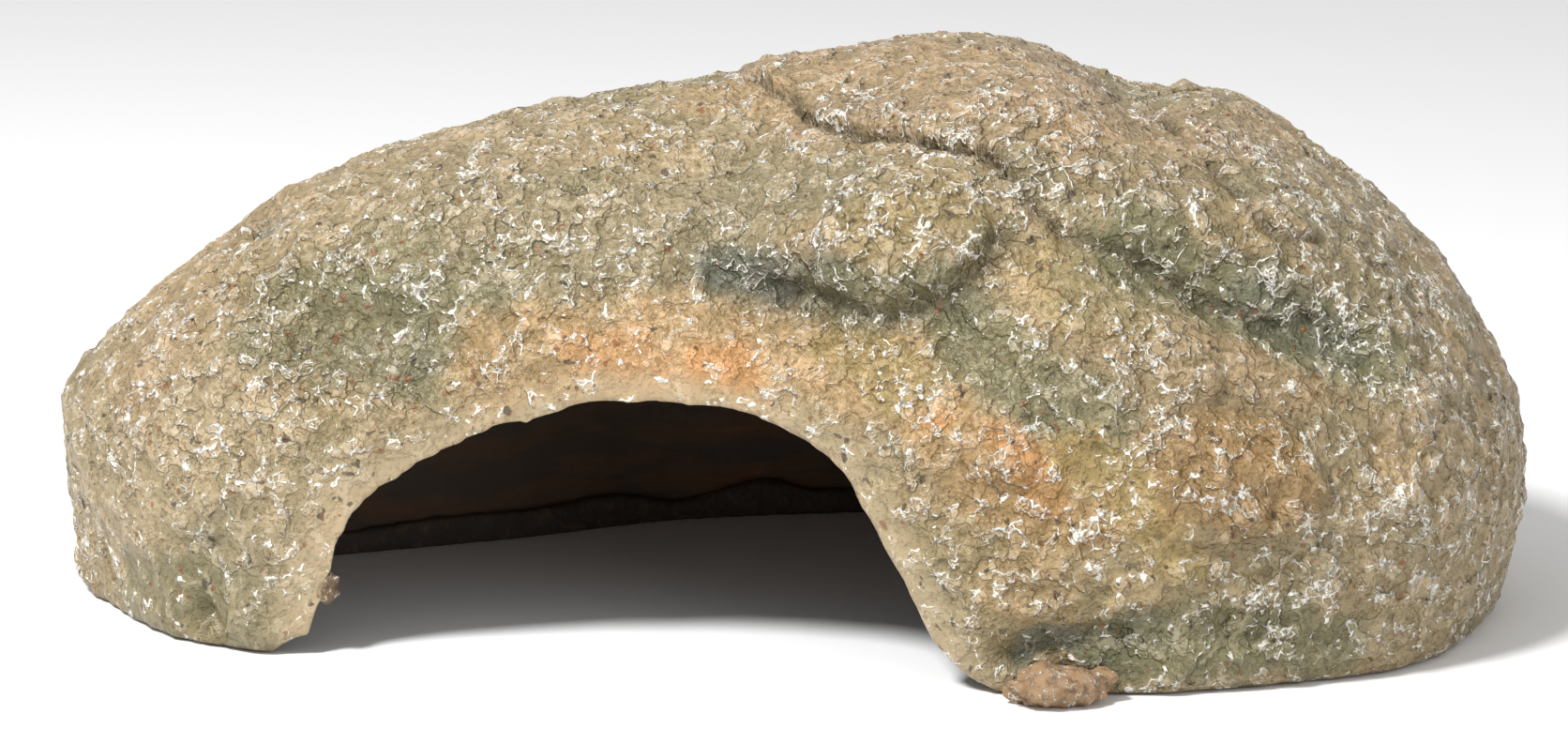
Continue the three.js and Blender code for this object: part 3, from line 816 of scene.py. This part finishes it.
def rock_paint():
    """Washes over tan, greener in the low places as wash and darker there as painted shade, with white
    dragged over the crests and painted highlight on the lumps' upper-left rims.
    """
    material, shader, place = finish("painted sandstone")
    cast_place = kept(place, "cast_place", "Vector")
    crust_here = kept(place, "crust")
    hollow_here = kept(place, "hollow")
    lip_here = kept(place, "lip")
    outside = kept(place, "painted")
    washes = kept(place, "washes", "Color")
    torn = stucco(cast_place)

    grit = place.noise(1.0, detail=3, roughness=0.65)
    clusters = place.noise(12, detail=2)
    heavy = 0.14 * crust_here + 0.5 * (clusters - 0.5) + 0.5 * (torn["lump"] - 0.5)
    gaps = (torn["broken"] + heavy).ease(0.72, 0.77)
    more_gaps = (place.noise(2.2, detail=1) + heavy).ease(0.56, 0.61)
    crest = (1 - torn["net"].ease(0.015, 0.07)) * gaps
    # White on the lumps' upper-left rims, where the key light falls: dry-brushed white and painted
    # highlight.
    lit_rim_white = torn["lit_rim"] * more_gaps
    torn_edge = torn["edge"] * more_gaps
    skin_edge = torn["skin_edge"] * (0.4 + 0.6 * more_gaps) * (torn["lump"] + heavy).ease(0.56, 0.66)
    dry_brush_and_lit_rim = 0.8 * crest + 1.1 * lit_rim_white + 0.9 * torn_edge + 0.9 * skin_edge
    white = dry_brush_and_lit_rim - 0.5 * grit.ease(0.48, 0.36) - 0.6 * hollow_here
    chalk = (torn["lump"] + 0.5 * heavy).ease(0.54, 0.72) * grit.ease(0.38, 0.58)

    fine_relief = torn["height"] * (0.3 + 0.5 * crust_here) + grit * 0.4 + white * 0.25
    height = fine_relief * (1 - 0.6 * lip_here)

    mottle = place.noise(6, detail=5, roughness=0.7)
    colour = washes.mix(mottle.ease(0.42, 0.66) * 0.45, COOL_MOTTLE, "MULTIPLY")
    low = torn["low"] * (1 - 0.75 * lip_here)
    # Green-grey wash that sits in the dips between the lumps, with painted shade that darkens the dips.
    colour = colour.mix(low * (0.55 + 0.3 * hollow_here), LOW_WASH_AND_SHADE, "MULTIPLY")
    # Painted shade: darker in the hollows and the cracks.
    colour = colour.mix(hollow_here * 0.3, HOLLOW_SHADE, "MULTIPLY")
    colour = colour.mix(grit.ease(0.44, 0.34) * 0.4, GRIT_STAIN, "MULTIPLY")
    colour = colour.mix(chalk * 0.25, PALE_TAN)
    colour = colour.mix(white.ease(0.15, 0.7) * 0.95, WHITE_CRUST)
    # Dark dots for pores that the mesh doesn't have: painted shade.
    pores = place.shifted(2, 1).noise(1.9, detail=1)
    colour = colour.mix(pores.ease(0.68, 0.74) * 0.85, PORE_SHADE)
    specks = place.noise(1.5, detail=0)
    colour = colour.mix((specks + 0.1 * mottle).ease(0.82, 0.86) * 0.7, RUST_SPECK)
    # Inside the hollow: the brown of the resin, made darker as painted shade of the hollow.
    brown = (place.noise(12, detail=3).ease(0.5, 0.75) * 0.5).between(BARE_BROWN_AND_SHADE, WARM_BROWN)
    colour = brown.mix(outside.ease(0.2, 0.8), colour)

    roughness = 0.46 - 0.2 * torn["lump"] + 0.1 * white - 0.06 * lip_here
    join(shader, Base_Color=colour, Roughness=roughness, Normal=bump(place, height, 1.0))
    shader.inputs["Specular IOR Level"].default_value = 0.45
    return material


rock.data.materials.clear()
rock.data.materials.append(rock_paint())
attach(rock, "root")
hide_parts("rock_shell")

# ---------------------------------------------------------------- inner lining
# The hollow is brushed out with a coat of brown paint over the raw back of the casting, its brown made
# darker as painted shade of the hollow.
# The coat stops short of the lip and of the floor, and the resin's layers show through it as bands.

BACKING_WEAR = 6  # rounds of smoothing
BACKING_UNEVENNESS = 0.35
BACKING_STRETCH = (0.6, 0.6, 1.4)  # its lumps are long sideways and short upwards
BACKING_BROWN_AND_SHADE = (0.075, 0.05, 0.033, 1)
BACKING_RUST = (0.13, 0.065, 0.03, 1)
BACKING_ORANGE = (0.22, 0.085, 0.028, 1)

lining = copied("inner_lining", "shaded_backing_coat")
with reworked(lining) as finer:
    bmesh.ops.subdivide_edges(finer, edges=finer.edges, cuts=4, use_grid_fill=True)
    for _ in range(BACKING_WEAR):
        smooth(finer)
lining_places, lining_normals = read_mesh(lining)
hand_laid = BACKING_UNEVENNESS * layers(lining_places * BACKING_STRETCH, 12, 51, 3)
write_mesh(lining, lining_places + hand_laid[:, None] * lining_normals)


def backing_paint():
    """Dark brown, partly painted shade of the hollow, with level bands of rust."""
    material, shader, place = finish("shaded dark backing")
    stretched = {"Vector": place.shifted(25, 6), "Scale": (0.25, 0.25, 1.6)}
    streaks = place.node("ShaderNodeMapping", None, stretched).noise(9, detail=4, roughness=0.6)
    colour = (streaks.ease(0.46, 0.62) * 0.8).between(BACKING_BROWN_AND_SHADE, BACKING_RUST)
    colour = colour.mix(streaks.ease(0.62, 0.72) * 0.6, BACKING_ORANGE)
    height = place.noise(4, detail=4) + streaks * 0.8
    join(shader, Base_Color=colour, Roughness=0.6 + 0.25 * streaks, Normal=bump(place, height, 0.6))
    return material


lining.data.materials.clear()
lining.data.materials.append(backing_paint())
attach(lining, "root")
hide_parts("inner_lining")

# ---------------------------------------------------------------- rim bead
# A bead of resin is laid by hand along the inside of the foot, to stiffen the edge that the rock
# stands on. Its top edge is wavy, and its face is left rough.

BEAD_GRAIN = 0.8
BEAD_WEAR = 3
BEAD_ROUGHNESS = 0.35
BEAD_BROWN = (0.05, 0.034, 0.023, 1)
BEAD_SCUFF = (0.11, 0.07, 0.04, 1)

bead = cast("rim_bead", "rim_bead_resin", BEAD_GRAIN, BEAD_WEAR)
bead_places, bead_normals = read_mesh(bead)
daubed = BEAD_ROUGHNESS * layers(bead_places, 5, 61, 3) * ease(bead_places[:, 2], 0, 1.5)
bead_shaped = bead_places + daubed[:, None] * bead_normals
bead_shaped[:, 2] = np.maximum(bead_shaped[:, 2], 0)
write_mesh(bead, bead_shaped)


def bead_resin():
    """Dark brown resin, scuffed paler where it stands up."""
    material, shader, place = finish("rough brown resin")
    grain = place.noise(3, detail=4, roughness=0.65)
    colour = (grain.ease(0.5, 0.66) * 0.7).between(BEAD_BROWN, BEAD_SCUFF)
    join(shader, Base_Color=colour, Roughness=0.55 + 0.3 * grain, Normal=bump(place, grain, 0.9))
    return material


bead.data.materials.clear()
bead.data.materials.append(bead_resin())
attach(bead, "root")
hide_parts("rim_bead")

# ---------------------------------------------------------------- stone chips
# Three crumbs of stone are pressed into the casting and painted with it: a flat chip under the
# right leg, a crumb on the right shoulder's ridge, and one on the inner side of the left leg.


def chip_paint(name, base, dark):
    """Paint over stone: dark in its grain, and white on its torn crests."""
    material, shader, place = finish(name)
    grain = place.noise(1.6, detail=4, roughness=0.65)
    torn = place.shifted(2, 0.8).noise(3, detail=3)
    colour = ((1 - grain.ease(0.34, 0.5)) * 0.8).between(base, dark)
    crest = (1 - abs(torn - 0.55).ease(0.01, 0.04)) * grain.ease(0.45, 0.55)
    colour = colour.mix(crest * 0.6, WHITE_CRUST)
    height = grain + crest * 0.4
    join(shader, Base_Color=colour, Roughness=0.75 - 0.2 * grain, Normal=bump(place, height, 0.6))
    return material


def chip(node, name, grain, knock, base, dark):
    """A chip of stone of that grain in mm, with its faces knocked about by that much in mm."""
    piece = cast(node, name, grain, wear=1)
    places, normals = read_mesh(piece)
    facet = 8 * grain
    height = knock * layers(places, facet, 91, 3) * ease(places[:, 2], 0, 0.5)
    knocked = places + height[:, None] * normals
    knocked[:, 2] = np.maximum(knocked[:, 2], 0)
    write_mesh(piece, knocked)
    piece.data.materials.clear()
    piece.data.materials.append(chip_paint(name + " paint", base, dark))
    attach(piece, "root")
    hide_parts(node)


CHIP_TAN = (0.30, 0.185, 0.095, 1)
CHIP_BROWN = (0.09, 0.06, 0.035, 1)
PEBBLE_SAND = (0.34, 0.27, 0.165, 1)
PEBBLE_BROWN = (0.12, 0.09, 0.055, 1)
CRUMB_BROWN = (0.17, 0.11, 0.06, 1)
CRUMB_DARK = (0.05, 0.032, 0.02, 1)

chip("foot_stone", "foot_chip", 0.45, 1.1, CHIP_TAN, CHIP_BROWN)
chip("crest_pebble", "crest_crumb", 0.2, 0.35, PEBBLE_SAND, PEBBLE_BROWN)
chip("leg_crumb", "leg_side_crumb", 0.2, 0.35, CRUMB_BROWN, CRUMB_DARK)

# ---------------------------------------------------------------- studio
# A plain pale floor that runs on past the view, and soft light from above and from the front.


FLOOR_REACH = 6  # metres from the middle
PAPER_GREY = (0.9, 0.9, 0.9, 1)


def studio_floor():
    mesh = bmesh.new()
    bmesh.ops.create_grid(mesh, x_segments=1, y_segments=1, size=FLOOR_REACH)
    floor_mesh = bpy.data.meshes.new("studio floor")
    mesh.to_mesh(floor_mesh)
    mesh.free()
    floor = bpy.data.objects.new("studio_floor", floor_mesh)
    bpy.context.scene.collection.objects.link(floor)
    material, shader, _ = finish("studio paper")
    shader.inputs["Base Color"].default_value = PAPER_GREY
    shader.inputs["Roughness"].default_value = 0.9
    shader.inputs["Specular IOR Level"].default_value = 0.0
    floor_mesh.materials.append(material)


def soft_light(name, place, aim, size, watts):
    """A round lamp of that size in metres, at a place and aimed at another."""
    lamp = bpy.data.lights.new(name, "AREA")
    lamp.shape = "DISK"
    lamp.size = size
    lamp.energy = watts
    holder = bpy.data.objects.new(name, lamp)
    bpy.context.scene.collection.objects.link(holder)
    holder.location = place
    holder.rotation_euler = (Vector(aim) - Vector(place)).to_track_quat("-Z", "Y").to_euler()


studio_floor()
soft_light("key", (-0.5, -0.5, 0.95), (0, 0, 0.03), 0.25, 16)
soft_light("fill", (0.8, -0.9, 0.45), (0, 0, 0.04), 0.9, 3)
world = bpy.data.worlds.new("studio")
bpy.context.scene.world = world
world.use_nodes = True
backdrop = world.node_tree.nodes["Background"]
backdrop.inputs["Color"].default_value = (1, 1, 1, 1)
backdrop.inputs["Strength"].default_value = 0.55
bpy.context.scene.view_settings.view_transform = "Standard"

# The camera looks along +Y from a little above, with the mouth in front of it.
VIEW_TARGET = Vector((-0.0011, -0.0099, 0.040))
VIEW_DISTANCE = 0.8
VIEW_CLIMB = radians(12)
lens = bpy.data.cameras.new("view")
lens.sensor_width = 36
lens.lens = 112
camera = bpy.data.objects.new("view", lens)
bpy.context.scene.collection.objects.link(camera)
camera.location = VIEW_TARGET + VIEW_DISTANCE * Vector((0, -cos(VIEW_CLIMB), sin(VIEW_CLIMB)))
camera.rotation_euler = (radians(90) - VIEW_CLIMB, 0, 0)
bpy.context.scene.camera = camera
